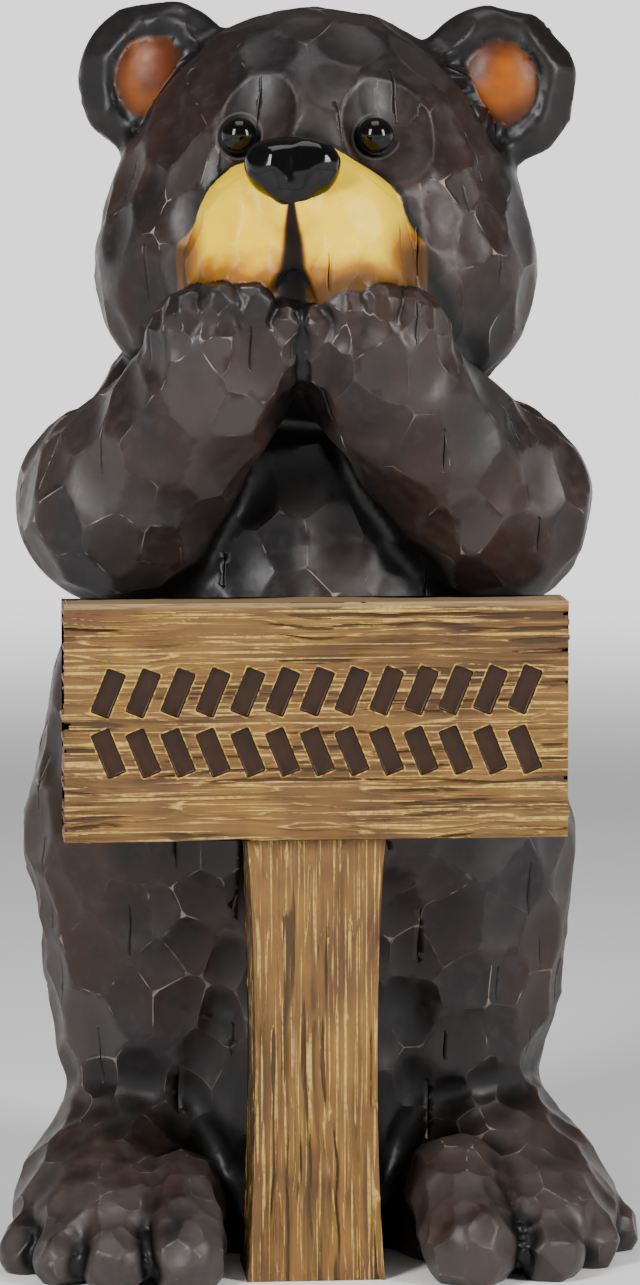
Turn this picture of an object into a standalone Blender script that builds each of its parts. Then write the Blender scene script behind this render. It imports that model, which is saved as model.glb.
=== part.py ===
"""Carved black bear with its paws at its mouth, standing behind a sign board on a post.

The bear is one solid. The board and the post are pieces of their own. Everything is in
metres, +Z up, and the bear faces -Y. The origin is the middle of the bear's underside.
"""

import math

import bmesh
import bpy
import numpy as np
from mathutils import Euler, Matrix, Vector

# Driving sizes, in metres.
BEAR_HEIGHT = 0.610
BOARD_WIDTH = 0.241
BOARD_HEIGHT = 0.1135
BOARD_THICKNESS = 0.030
BOARD_UNDERSIDE = 0.2125
BOARD_FRONT = -0.128
BOARD_WEAR = 0.0030
STROKE_LENGTH = 0.0225
STROKE_WIDTH = 0.0095
STROKE_DEPTH = 0.0032
STROKE_PITCH = 0.0164
STROKE_LEAN = math.radians(22)
STROKE_COUNT = 13
ROW_PITCH = 0.0285
POST_WIDTH = 0.067
POST_WAIST = 0.059
POST_DEPTH = 0.050
POST_SETBACK = 0.005
POST_ROUNDING = 0.0030
GRAIN_DEPTH = 0.0012
BOARD_ROWS = 25
POST_ROWS = 11
FIT_GAP = 0.0004
CUT_AHEAD = 0.06

# The bear's free form is given in shares of its height: one unit is 1 mm on a bear 610 mm tall.
UNIT = BEAR_HEIGHT / 610
BLOCK_VOXEL = 0.0075
SLIDE = 0.45
DETAIL_COST = 0.009
SHAPE_VOXEL = 0.0042
BEAR_TRIANGLES = 6700
CARVING_SEED = 11
CLOSE = 40
UPRIGHT = np.array((1, 1, 0.8))
NORMAL_WEIGHT = 150
DISH_REACH = 3.2
ROOM_LOOK = 6

HEAD_CENTRE = (9, -8, 497)
HEAD_TURN = math.radians(-10)
MUZZLE_MIDDLE = 0.3
PAW_MIDDLE = -7.0


def turned(degrees):
    """The rotation matrix of three angles about X, Y and Z."""
    return np.array(Euler([math.radians(d) for d in degrees]).to_matrix())


HEAD_AXES = turned((0, 0, math.degrees(HEAD_TURN)))


def on_head(point):
    """A point given from the middle of the head, in the bear's frame."""
    return tuple(np.array(HEAD_CENTRE) + HEAD_AXES @ np.array(point, float))


def lump(centre, radii, axes=None):
    """An ellipsoid of the carving."""
    return {
        "centre": np.array(centre, float),
        "radii": np.array(radii, float),
        "axes": np.eye(3) if axes is None else axes,
    }


def head_lump(centre, radii, degrees=(0, 0, 0)):
    return lump(on_head(centre), radii, HEAD_AXES @ turned(degrees))


def limb(start, end, start_radius, end_radius):
    """A round bar of the carving whose radius changes along it."""
    return {
        "start": np.array(start, float),
        "end": np.array(end, float),
        "radii": (start_radius, end_radius),
    }


def torso():
    return [
        lump((1.5, -2, 262), (122, 98, 98)),
        lump((0, 4, 205), (126, 86, 80)),
        lump((0, 10, 350), (98, 82, 92)),
        lump((0, 20, 410), (92, 66, 60)),
        lump((0, 6, 60), (58, 84, 170)),
    ]


def legs():
    return [
        limb((-71, -4, 190), (-67, -6, 70), 59, 41),
        lump((-71, 10, 135), (50, 64, 92)),
        limb((77, -4, 190), (72, -6, 70), 59, 42),
        lump((80, 10, 142), (54, 66, 90)),
    ]


# Each foot's side, how far it turns out in degrees, and how broad it is.
FOOT_SIDES = ((-1, -10, 1.0), (1, 14, 1.13))

# Each foot's four toes from the inside: how far across and forward of the heel, and how thick.
TOES = {
    -1: ((-36, 129, 19), (-4, 136, 15.5), (23, 126, 13.5), (44, 103, 12)),
    1: ((-35, 130, 22), (3.5, 134, 16), (32, 115, 14.5), (54.5, 86, 13)),
}


def heel_of(side):
    return np.array((side * 76, 6, 0.0))


def feet():
    made = []
    for side, splay, breadth in FOOT_SIDES:
        axes = turned((0, 0, splay))
        heel = heel_of(side)
        spread = side * 40 * (breadth - 1)
        made.append(lump(heel + axes @ (spread, -52, 18), (50 * breadth, 82, 38), axes))
        made.append(lump(heel + axes @ (0, 28, 20), (42, 44, 36), axes))
        made.append(
            lump(heel + axes @ (side * 4 + spread, -22, 44), (38 * breadth, 58, 35), axes)
        )
        made.append(lump(heel + axes @ (side * 26 + spread, -46, 24), (28, 48, 28), axes))
    return made


def toes():
    made = []
    for side, splay, _ in FOOT_SIDES:
        axes = turned((0, 0, splay))
        for across, forward, radius in TOES[side]:
            tip = heel_of(side) + axes @ (side * across, -forward, radius * 0.75)
            root = heel_of(side) + axes @ (side * across * 0.8, 42 - forward, radius + 16)
            made.append(limb(tip, root, radius, radius + 2))
    return made


def arms():
    made = []
    for side, shoulder, bend, elbow in (
        (-1, (-75, 18, 384), (-89, -28, 366), (-88, -58, 366)),
        (1, (74, 18, 392), (92, -28, 366), (92, -58, 364)),
    ):
        wrist = (PAW_MIDDLE + side * 38, -103, 429)
        made.append(limb(shoulder, bend, 38, 45))
        made.append(limb(bend, elbow, 45, 43))
        made.append(limb(elbow, wrist, 44, 35))
    return made


def paws():
    made = []
    for side in (-1, 1):
        made.append(
            lump((PAW_MIDDLE + side * 36, -110, 448), (36, 27, 27), turned((0, side * -8, 0)))
        )
    return made


# Each paw's four fingers from the inside: how far across, how far forward, how high, how thick.
FINGERS = ((9, -121, 457, 10), (24, -127, 464, 10.5), (39.5, -128, 465, 10.5), (54, -125, 461, 10))


def fingers():
    made = []
    for side, spread in ((-1, 1.0), (1, 0.92)):
        for across, front, top, radius in FINGERS:
            x = PAW_MIDDLE + side * across * spread
            made.append(limb((x, front + 4, top - 24), (x, front, top), radius * 0.8, radius))
            made.append(limb((x, front, top), (x, -108, top - 1), radius, radius * 0.85))
    return made


def skull():
    return [
        head_lump((0, 6, 2), (98, 88, 105)),
        head_lump((-50, -2, -24), (53, 66, 50)),
        head_lump((50, -2, -26), (54, 66, 52)),
        head_lump((0, -26, -48), (62, 54, 44)),
    ]


EAR_PLACES = [((-78.5, 16, 72), -1), ((87.5, 16, 69), 1)]


def ear_shells():
    return [head_lump(place, (39, 17, 39), (-4, 0, side * 6)) for place, side in EAR_PLACES]


def ear_bowls():
    return [
        head_lump((x + side * 1.5, y - 19, z + 1), (28.5, 15, 30), (-4, 0, side * 6))
        for (x, y, z), side in EAR_PLACES
    ]


def ear_pads():
    return [
        head_lump((x + side * 2.5, y - 3, z + 2), (21, 11, 24.5), (-4, 0, side * 6))
        for (x, y, z), side in EAR_PLACES
    ]


def muzzle():
    return [
        head_lump((MUZZLE_MIDDLE - 23, -84, -18), (32, 41, 37), (0, 12, 0)),
        head_lump((MUZZLE_MIDDLE + 23, -84, -18), (32, 41, 37), (0, -12, 0)),
        head_lump((MUZZLE_MIDDLE, -84, -10), (35, 31, 35)),
        head_lump((MUZZLE_MIDDLE, -82, 15), (29, 42, 29)),
        head_lump((MUZZLE_MIDDLE - 20, -82, 4), (28, 38, 30)),
        head_lump((MUZZLE_MIDDLE + 20, -82, 4), (29, 38, 30)),
    ]


def mouth():
    return [head_lump((MUZZLE_MIDDLE, -122, -32), (9, 30, 17))]


def nose():
    return [
        limb(on_head((-12.5, -114, 33.5)), on_head((12.5, -114, 33.5)), 9.5, 9.5),
        limb(on_head((-5, -114, 33.5)), on_head((5, -114, 33.5)), 11, 11),
        limb(on_head((-9, -115, 30)), on_head((-2, -119, 22.5)), 10, 7.5),
        limb(on_head((9, -115, 30)), on_head((2, -119, 22.5)), 10, 7.5),
    ]


EYE_PLACES = [(side * 32.5 + 2.5, -75, 46) for side in (-1, 1)]


def brow_scoops():
    """The broad scoop that each eye sits in."""
    return [
        head_lump((-23.5, -80, 61), (31, 20, 44), (-28, 0, -14)),
        head_lump((47, -73, 54.5), (37, 20, 44), (-25, 0, 26)),
    ]


def eye_sockets():
    return [head_lump(place, (11.3, 9, 11.3)) for place in EYE_PLACES]


def eyes():
    return [head_lump((x, y + 7, z), (8.8, 8.8, 8.9)) for x, y, z in EYE_PLACES]


def tail():
    return [lump((0, 88, 150), (17, 14, 18))]


def middle_and_reach(solid):
    """The middle of a lump or limb, and how far it reaches from there."""
    if "centre" in solid:
        return solid["centre"], max(solid["radii"])
    length = np.linalg.norm(solid["end"] - solid["start"])
    return (solid["start"] + solid["end"]) / 2, max(solid["radii"]) + length / 2


def exact_distance(points, solid):
    if "centre" in solid:
        local = (points - solid["centre"]) @ solid["axes"]
        near = np.linalg.norm(local / solid["radii"], axis=1)
        slope = np.linalg.norm(local / solid["radii"] ** 2, axis=1)
        return near * (near - 1) / np.maximum(slope, 1e-9)
    along = solid["end"] - solid["start"]
    share = np.clip((points - solid["start"]) @ along / (along @ along), 0, 1)
    nearest = solid["start"] + share[:, None] * along
    radius = solid["radii"][0] + share * (solid["radii"][1] - solid["radii"][0])
    return np.linalg.norm(points - nearest, axis=1) - radius


def distance_to(points, solid):
    """How far points are outside one lump or limb, negative inside. Far points are only estimated."""
    middle, reach = middle_and_reach(solid)
    distance = np.linalg.norm(points - middle, axis=1) - reach
    close = distance < CLOSE
    distance[close] = exact_distance(points[close], solid)
    return distance


def blended(first, second, width):
    """The union of two distances, with a soft fillet of that width where they meet."""
    overlap = np.maximum(width - np.abs(first - second), 0) / width
    return np.minimum(first, second) - overlap * overlap * width / 4


def cut_from(first, second, width):
    return -blended(-first, second, width)


def group(points, solids, width):
    total = distance_to(points, solids[0])
    for solid in solids[1:]:
        total = blended(total, distance_to(points, solid), width)
    return total


ADDED = [
    (torso(), 34, 0),
    (legs(), 16, 26),
    (feet(), 18, 16),
    (toes(), 2.2, 5),
    (tail(), 4, 8),
    (arms(), 14, 12),
    (skull(), 30, 4),
    (paws(), 3, 10),
    (fingers(), 1.8, 4),
    (ear_shells(), 5, 9),
]


def form(points):
    """The bear's smooth form, before the gouge: its distance from each point, in units."""
    total = None
    for solids, inner_width, joint_width in ADDED:
        part = group(points, solids, inner_width)
        total = part if total is None else blended(total, part, joint_width)
    total = cut_from(total, group(points, brow_scoops(), 1), 0.8)
    total = cut_from(total, group(points, ear_bowls(), 3), 3)
    total = blended(total, group(points, ear_pads(), 2), 1.5)
    lips = cut_from(group(points, muzzle(), 5), group(points, mouth(), 3), 4)
    total = blended(total, lips, 3)
    total = blended(total, group(points, nose(), 8), 1.2)
    total = cut_from(total, group(points, eye_sockets(), 1), 3)
    return blended(total, group(points, eyes(), 1), 0.8)


def form_and_slope(points):
    """The form's distance and outward normal at each point, from four looks round it."""
    step = 0.3
    looks = np.array([(1, -1, -1), (-1, -1, 1), (-1, 1, -1), (1, 1, 1)], float)
    seen = [form(points + look * step) for look in looks]
    slope = sum(value[:, None] * look for value, look in zip(seen, looks))
    length = np.maximum(np.linalg.norm(slope, axis=1), 1e-9)
    return sum(seen) / 4, slope / length[:, None]


def settled(points, rounds=4, most=6.0):
    """Points drawn onto the form along its normal."""
    for _ in range(rounds):
        distance, normal = form_and_slope(points)
        points = points - normal * np.clip(distance, -most, most)[:, None]
    return points


def facet_size(points):
    """How wide the gouge's facets are: broad on the body, narrow on paws, toes and face."""
    size = np.full(len(points), 23.0)
    for solids, narrow in (
        (feet(), 18.5),
        (muzzle(), 19.0),
        (paws(), 13.0),
        (ear_shells(), 18.0),
        (toes(), 13.5),
        (fingers(), 10.0),
        (nose(), 14.0),
        (brow_scoops(), 34.0),
        (eyes(), 30.0),
    ):
        near = group(points, solids, 1)
        size = np.where(near < 2.5, narrow, size)
    return size


def facet_middles():
    """Where the gouge took its cuts: places spread over the form, each with its normal and width."""
    draw = np.random.default_rng(CARVING_SEED)
    solids = [s for made, _, _ in ADDED for s in made] + muzzle() + nose()
    spots = []
    for solid in solids:
        middle, reach = middle_and_reach(solid)
        count = int(60 + reach * reach * 0.07)
        ray = draw.normal(size=(count, 3))
        ray /= np.linalg.norm(ray, axis=1)[:, None]
        spots.append(middle + ray * reach * draw.uniform(0.6, 1.0, (count, 1)))
    spots = settled(np.concatenate(spots), rounds=6, most=20.0)
    off, normal = form_and_slope(spots)
    good = (np.abs(off) < 0.4) & (spots[:, 2] > -2)
    order = draw.permutation(good.sum())
    spots, normal = spots[good][order], normal[good][order]
    size = facet_size(spots) * draw.uniform(0.76, 1.32, len(spots))
    deep = draw.uniform(0.055, 0.085, len(spots)) * size
    kept = []
    for i, spot in enumerate(spots):
        if kept:
            gap = (spots[kept] - spot) * UPRIGHT
            bend = NORMAL_WEIGHT * ((normal[kept] - normal[i]) ** 2).sum(1)
            apart = np.sqrt((gap**2).sum(1) + bend)
            if (apart < 0.43 * (size[kept] + size[i])).any():
                continue
        kept.append(i)
    return {
        "spot": spots[kept],
        "normal": normal[kept],
        "size": size[kept],
        "tilt": draw.normal(0, 0.045, (len(kept), 3)),
        "deep": deep[kept],
    }


def dish_heights(points, normal, facets):
    """The height of every facet's shallow dish over every point, as one product of two tables."""
    stretched = points * UPRIGHT
    spot = facets["spot"] * UPRIGHT
    ones = np.ones((len(points), 1))
    here = np.hstack([(stretched**2).sum(1)[:, None], stretched, normal, points, ones])
    curve = (1 / (DISH_REACH * facets["size"]))[:, None]
    fixed = (
        curve[:, 0] * ((spot**2).sum(1) + 2 * NORMAL_WEIGHT)
        - facets["deep"]
        - (facets["spot"] * facets["tilt"]).sum(1)
    )
    there = np.hstack(
        [
            curve,
            -2 * curve * spot,
            -2 * NORMAL_WEIGHT * curve * facets["normal"],
            facets["tilt"],
            fixed[:, None],
        ]
    )
    return here @ there.T


def two_lowest(points, normal, facets):
    """The two lowest dishes over each point: which they are, and how high they are there."""
    which = np.empty((len(points), 2), int)
    height = np.empty((len(points), 2))
    for first in range(0, len(points), 4000):
        chunk = slice(first, first + 4000)
        table = dish_heights(points[chunk], normal[chunk], facets)
        pair = np.argpartition(table, 1, axis=1)[:, :2]
        found = np.take_along_axis(table, pair, 1)
        order = found.argsort(1)
        which[chunk] = np.take_along_axis(pair, order, 1)
        height[chunk] = np.take_along_axis(found, order, 1)
    return which, height


def slid_to_ridges(points, facets, most):
    """Points close to the ridge between two facets, slid along the form onto that ridge."""
    normal = form_and_slope(points)[1]
    which, height = two_lowest(points, normal, facets)
    slopes = []
    for facet in which.T:
        gap = points - facets["spot"][facet]
        reach = (DISH_REACH * facets["size"][facet])[:, None]
        slopes.append(2 * UPRIGHT**2 * gap / reach + facets["tilt"][facet])
    climb = slopes[1] - slopes[0]
    climb -= (climb * normal).sum(1)[:, None] * normal
    steepness = np.maximum((climb**2).sum(1), 1e-6)
    move = -climb * ((height[:, 1] - height[:, 0]) / steepness)[:, None]
    near = np.linalg.norm(move, axis=1) < most
    return points + move * near[:, None]


def gouged(points, facets):
    """Points moved along the normal to the lowest dish, so that facets meet in ridges.

    The eyes and the ears' pads stay smooth, and the gouge doesn't reach into tight creases.
    """
    normal = form_and_slope(points)[1]
    depth = two_lowest(points, normal, facets)[1][:, 0]
    calm = np.clip(group(points, eyes() + ear_pads(), 1) / 1.5, 0, 1)
    calm *= np.clip(0.3 + group(points, brow_scoops(), 1) / 3, 0.3, 1)
    room = form(points + normal * ROOM_LOOK) / ROOM_LOOK
    calm *= np.clip((room - 0.25) / 0.5, 0, 1)
    return points + normal * (np.clip(depth, -2.8, 1.2) * calm)[:, None]


def apply_modifiers(obj):
    bpy.context.view_layer.objects.active = obj
    for modifier in list(obj.modifiers):
        bpy.ops.object.modifier_apply(modifier=modifier.name)


def remesh(obj, voxel):
    modifier = obj.modifiers.new("Remesh", "REMESH")
    modifier.mode = "VOXEL"
    modifier.voxel_size = voxel
    apply_modifiers(obj)


def mesh_points(obj):
    flat = np.empty(len(obj.data.vertices) * 3, np.float32)
    obj.data.vertices.foreach_get("co", flat)
    return flat.reshape(-1, 3).astype(float) / UNIT


def place_points(obj, points):
    obj.data.vertices.foreach_set("co", (points * UNIT).astype(np.float32).ravel())
    obj.data.update()


def roughed_out():
    """The block: spheres and bars at their places, joined and remeshed as one."""
    balls = []
    for solids, _, _ in ADDED + [(muzzle(), 0, 0), (nose(), 0, 0)]:
        for solid in solids:
            if "centre" in solid:
                balls.append((solid["centre"], solid["radii"], solid["axes"]))
                continue
            for share in np.linspace(0, 1, 5):
                middle = solid["start"] * (1 - share) + solid["end"] * share
                radius = solid["radii"][0] * (1 - share) + solid["radii"][1] * share
                balls.append((middle, np.full(3, radius), np.eye(3)))
    made = []
    for middle, radii, axes in balls:
        bpy.ops.mesh.primitive_uv_sphere_add(segments=32, ring_count=16, radius=UNIT)
        ball = bpy.context.object
        ball.matrix_world = (
            Matrix.Translation(Vector(middle) * UNIT)
            @ Matrix(axes.tolist()).to_4x4()
            @ Matrix.Diagonal((*radii, 1))
        )
        made.append(ball)
    for ball in made:
        ball.select_set(True)
    bpy.context.view_layer.objects.active = made[0]
    bpy.ops.object.join()
    bpy.ops.object.transform_apply()
    return bpy.context.object


def stand_flat(obj):
    """Cuts the feet off flat on the ground."""
    mesh = bmesh.new()
    mesh.from_mesh(obj.data)
    everything = mesh.verts[:] + mesh.edges[:] + mesh.faces[:]
    bmesh.ops.bisect_plane(
        mesh, geom=everything, plane_co=(0, 0, 0), plane_no=(0, 0, 1), clear_inner=True
    )
    rim = [edge for edge in mesh.edges if edge.is_boundary]
    bmesh.ops.contextual_create(mesh, geom=rim)
    bmesh.ops.triangulate(mesh, faces=mesh.faces[:])
    bmesh.ops.recalc_face_normals(mesh, faces=mesh.faces[:])
    mesh.to_mesh(obj.data)
    mesh.free()


def plain_parts(obj, points):
    """Names the vertices that may be thinned most: all but the face, ears, paws and toes."""
    group_of_plain = obj.vertex_groups.new(name="plain")
    fine = np.zeros(len(points))
    for solids in (eyes(), nose(), muzzle(), fingers(), toes(), paws(), ear_pads()):
        fine = np.maximum(fine, np.clip(1.5 - group(points, solids, 1) / 8, 0, 1))
    front = np.clip(0.25 - points[:, 1] / 200, 0, 0.4)
    weight = 1 - 0.8 * np.maximum(fine, front)
    for step in range(11):
        level = step / 10
        chosen = np.flatnonzero(np.abs(weight - level) <= 0.05)
        group_of_plain.add(chosen.tolist(), level, "REPLACE")
    return group_of_plain.name


def carve_bear():
    bear = roughed_out()
    bear.name = "bear"
    remesh(bear, BLOCK_VOXEL)
    place_points(bear, settled(mesh_points(bear)))
    remesh(bear, SHAPE_VOXEL)
    facets = facet_middles()
    points = settled(mesh_points(bear), rounds=3)
    points = slid_to_ridges(points, facets, SLIDE * SHAPE_VOXEL / UNIT)
    place_points(bear, gouged(points, facets))
    whole = len(bear.data.polygons) * 2
    thin = bear.modifiers.new("Decimate", "DECIMATE")
    thin.ratio = BEAR_TRIANGLES / whole
    thin.use_collapse_triangulate = True
    thin.vertex_group = plain_parts(bear, points)
    thin.vertex_group_factor = DETAIL_COST
    apply_modifiers(bear)
    stand_flat(bear)
    return bear


def subdivided_box(name, size, middle, cuts):
    """A box whose faces are cut into a grid, ready to be worked."""
    bpy.ops.mesh.primitive_cube_add(size=1)
    box = bpy.context.object
    box.name = name
    mesh = bmesh.new()
    mesh.from_mesh(box.data)
    for axis, count in enumerate(cuts):
        along = [
            edge
            for edge in mesh.edges
            if abs((edge.verts[0].co - edge.verts[1].co).normalized()[axis]) > 0.9
        ]
        if count:
            bmesh.ops.subdivide_edges(mesh, edges=along, cuts=count, use_grid_fill=True)
    for vertex in mesh.verts:
        vertex.co = Vector(c * s + m for c, s, m in zip(vertex.co, size, middle))
    mesh.to_mesh(box.data)
    mesh.free()
    return box


def ripple(along, across):
    """Weathered wood grain, from -1 to 1: uneven ridges that run and wander along the piece."""
    wander = 0.9 * math.sin(along * 23) + 0.5 * math.sin(along * 61 + 1.3)
    broad = math.sin(across * 620 + wander)
    fine = math.sin(across * 1130 + 1.7 * wander + 2.1)
    return 0.6 * broad + 0.4 * fine


def split_end(height, side):
    """How far the weather has eaten into the board's end at a height, from 0 to 1."""
    wave = math.sin(height * 270 + side * 1.9) * 0.5 + math.sin(height * 97 + side) * 0.5
    return max(0.0, wave) ** 2


def carve_board():
    middle = (0, BOARD_FRONT + BOARD_THICKNESS / 2, BOARD_UNDERSIDE + BOARD_HEIGHT / 2)
    board = subdivided_box(
        "sign_board", (BOARD_WIDTH, BOARD_THICKNESS, BOARD_HEIGHT), middle, (7, 1, BOARD_ROWS)
    )
    for vertex in board.data.vertices:
        x, y, z = vertex.co
        height = z - middle[2]
        if y < middle[1] - 1e-6 and abs(height) < BOARD_HEIGHT / 2 - 1e-6:
            vertex.co.y += GRAIN_DEPTH * (0.5 + 0.5 * ripple(x, height))
        if abs(x) > BOARD_WIDTH / 2 - 1e-6:
            side = math.copysign(1, x)
            vertex.co.x -= side * BOARD_WEAR * split_end(height, side)
    cut_strokes(board, middle[2])
    return board


def cut_strokes(board, middle_height):
    """Sinks two rows of leaning strokes into the board's front."""
    cutters = []
    for row, lean in ((0.5, STROKE_LEAN), (-0.5, -STROKE_LEAN)):
        for number in range(STROKE_COUNT):
            across = (number - (STROKE_COUNT - 1) / 2) * STROKE_PITCH
            bpy.ops.mesh.primitive_cube_add(
                size=1,
                location=(across, BOARD_FRONT, middle_height + row * ROW_PITCH),
                rotation=(0, lean, 0),
            )
            cutter = bpy.context.object
            cutter.scale = (STROKE_WIDTH, 2 * STROKE_DEPTH, STROKE_LENGTH)
            cutters.append(cutter)
    bpy.ops.object.select_all(action="DESELECT")
    for cutter in cutters:
        cutter.select_set(True)
    bpy.context.view_layer.objects.active = cutters[0]
    bpy.ops.object.join()
    strokes = bpy.context.object
    strokes.name = "stroke_cutter"
    bpy.ops.object.transform_apply()
    cut_away(board, strokes)


def carve_post():
    height = BOARD_UNDERSIDE - FIT_GAP
    front = BOARD_FRONT + POST_SETBACK
    middle = (0, front + POST_DEPTH / 2, height / 2)
    post = subdivided_box("sign_post", (POST_WIDTH, POST_DEPTH, height), middle, (9, 1, POST_ROWS))
    first_ring = height / (POST_ROWS + 1)
    for vertex in post.data.vertices:
        x, y, z = vertex.co
        if abs(z - first_ring) < 1e-6:
            vertex.co.z = z = 1.5 * POST_ROUNDING
        waist = math.sin(math.pi * z / height) ** 0.7 if 0 < z < height else 0
        vertex.co.x = x * (1 - waist * (1 - POST_WAIST / POST_WIDTH))
        if y < middle[1] - 1e-6 and abs(x) < POST_WIDTH / 2 - 1e-6 and 0 < z < height:
            vertex.co.y += GRAIN_DEPTH * (0.5 + 0.5 * ripple(z, x))
        if z == 0:
            vertex.co.x *= 1 - 2 * POST_ROUNDING / POST_WIDTH
            vertex.co.y += POST_ROUNDING * (middle[1] - y) / (POST_DEPTH / 2)
    return post


def cut_away(obj, cutter):
    """Cuts the cutter's shape from the object, and puts the cutter away."""
    cut = obj.modifiers.new("Cut", "BOOLEAN")
    cut.operation = "DIFFERENCE"
    cut.object = cutter
    cutter.hide_render = True
    cutter.display_type = "WIRE"
    for holder in list(cutter.users_collection):
        holder.objects.unlink(cutter)
    bpy.data.collections["cutters"].objects.link(cutter)


def fit_to_sign(bear):
    """Cuts the bear back to clear the board that its arms rest on, and the post below."""
    post_top = BOARD_UNDERSIDE + BOARD_HEIGHT / 2
    for name, width, depth, low, high, front in (
        (
            "board_cutter",
            BOARD_WIDTH * 1.4,
            BOARD_THICKNESS,
            BOARD_UNDERSIDE,
            BOARD_UNDERSIDE + BOARD_HEIGHT,
            BOARD_FRONT,
        ),
        ("post_cutter", POST_WIDTH, POST_DEPTH, -0.01, post_top, BOARD_FRONT + POST_SETBACK),
    ):
        bpy.ops.mesh.primitive_cube_add(size=1)
        cutter = bpy.context.object
        cutter.name = name
        cutter.dimensions = (
            width + 2 * FIT_GAP,
            depth + CUT_AHEAD + FIT_GAP,
            high - low + 2 * FIT_GAP,
        )
        cutter.location = (0, front + (depth + FIT_GAP - CUT_AHEAD) / 2, (low + high) / 2)
        bpy.context.view_layer.update()
        cut_away(bear, cutter)


def finish_of(name, colour, roughness):
    """A plain painted finish, its colour as linear red, green and blue."""
    paint = bpy.data.materials.new(name)
    paint.use_nodes = True
    shader = paint.node_tree.nodes["Principled BSDF"]
    shader.inputs["Base Color"].default_value = (*colour, 1)
    shader.inputs["Roughness"].default_value = roughness
    return paint


def collection_named(name):
    made = bpy.data.collections.new(name)
    bpy.context.scene.collection.children.link(made)
    return made


def build():
    for old in list(bpy.data.objects):
        bpy.data.objects.remove(old)
    statue = collection_named("carved_bear_with_sign")
    collection_named("cutters").hide_render = True
    bear = carve_bear()
    fit_to_sign(bear)
    board = carve_board()
    post = carve_post()
    bear.data.materials.append(finish_of("black_brown_paint", (0.034, 0.028, 0.027), 0.42))
    board.data.materials.append(finish_of("board_paint", (0.30, 0.17, 0.075), 0.55))
    post.data.materials.append(finish_of("post_paint", (0.30, 0.17, 0.075), 0.55))
    for piece in (bear, board, post):
        for holder in list(piece.users_collection):
            holder.objects.unlink(piece)
        statue.objects.link(piece)


build()
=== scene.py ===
"""Looks of the carved bear and its sign board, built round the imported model.

The bear is carved again from the same form and the same gouge cuts, on a much finer mesh, and
the board and the post get their weathered grain. Everything is in metres, as in the model.
"""

import math

import bmesh
import bpy
import numpy as np
from mathutils import Euler, Matrix, Vector


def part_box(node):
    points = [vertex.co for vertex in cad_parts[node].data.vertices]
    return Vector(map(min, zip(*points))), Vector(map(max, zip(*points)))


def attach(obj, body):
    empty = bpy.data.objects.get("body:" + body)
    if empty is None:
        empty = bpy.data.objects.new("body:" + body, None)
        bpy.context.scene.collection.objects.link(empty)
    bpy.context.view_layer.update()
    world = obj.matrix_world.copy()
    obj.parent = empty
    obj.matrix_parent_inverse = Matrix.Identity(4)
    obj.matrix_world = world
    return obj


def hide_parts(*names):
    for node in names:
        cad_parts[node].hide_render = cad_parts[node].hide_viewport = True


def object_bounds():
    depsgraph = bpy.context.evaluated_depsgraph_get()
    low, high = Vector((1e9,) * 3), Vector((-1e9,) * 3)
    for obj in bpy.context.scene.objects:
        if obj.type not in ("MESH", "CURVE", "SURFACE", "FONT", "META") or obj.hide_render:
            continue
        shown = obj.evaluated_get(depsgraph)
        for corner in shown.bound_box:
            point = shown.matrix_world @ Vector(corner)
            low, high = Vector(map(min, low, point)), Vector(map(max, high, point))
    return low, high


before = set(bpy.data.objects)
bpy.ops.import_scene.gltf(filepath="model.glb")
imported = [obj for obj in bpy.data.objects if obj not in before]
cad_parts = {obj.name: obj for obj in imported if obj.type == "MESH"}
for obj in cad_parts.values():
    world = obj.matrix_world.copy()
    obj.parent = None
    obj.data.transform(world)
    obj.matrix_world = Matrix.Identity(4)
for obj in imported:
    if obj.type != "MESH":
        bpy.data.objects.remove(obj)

CAD_LOW, CAD_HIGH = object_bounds()

# The sizes that the scene shares with the solids, in metres.
BEAR_HEIGHT = 0.610
BOARD_FRONT = -0.128
STROKE_LENGTH = 0.0225
STROKE_WIDTH = 0.0095
STROKE_DEPTH = 0.0032
STROKE_PITCH = 0.0164
STROKE_LEAN = math.radians(22)
STROKE_COUNT = 13
ROW_PITCH = 0.0285
POST_WIDTH = 0.067
POST_WAIST = 0.059
POST_SETBACK = 0.005
FIT_GAP = 0.0004
MM = 0.001

# How far the weather and the grain go into the board and the post, in metres.
BOARD_GRAIN = 0.0018
END_WEAR = 0.0044
EDGE_WEAR = 0.0011
EDGE_GRAIN = 0.0007
LAYER_HEIGHT = 0.0036
POST_GRAIN = 0.0016
POST_SIDE_GRAIN = 0.0012
STROKE_ROUNDING = 0.0012

# The bear's free form is given in shares of its height: one unit is 1 mm on a bear 610 mm tall.
UNIT = BEAR_HEIGHT / 610
BLOCK_VOXEL = 0.0075
RIDGE_ANGLE = math.radians(4)
CRACK_WIDTH = 0.0008
CRACK_DEPTH = 0.0036
CRACK_COUNT = 140
CRACK_GAP = 20
CRACK_LENGTHS = (12, 30)
CRACK_SEED = 5
TONE_SEED = 4
SHUT_IN_LOOKS = (8, 18, 38)
SKIN_VOXEL = 0.00315
NOSE_VOXEL = 0.0011
NOSE_GOUGE = 0.4
SLIDE = 0.45
CARVING_SEED = 11
CLOSE = 40
UPRIGHT = np.array((1, 1, 0.8))
NORMAL_WEIGHT = 150
DISH_REACH = 3.2
DISH_SIZES = (0.76, 1.32)
DISH_DEPTHS = (0.055, 0.085)
DISH_TILT = 0.045
DISH_SPACING = 0.43
DISH_LIMITS = (-2.8, 1.2)
BODY_FACET = 23.0
EYE_RADIUS = 8.9
HOLLOW_ROUNDS = 60
ROOM_LOOK = 6

HEAD_CENTRE = (9, -8, 497)
HEAD_TURN = math.radians(-10)
MUZZLE_MIDDLE = 0.3
PAW_MIDDLE = -7.0


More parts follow.
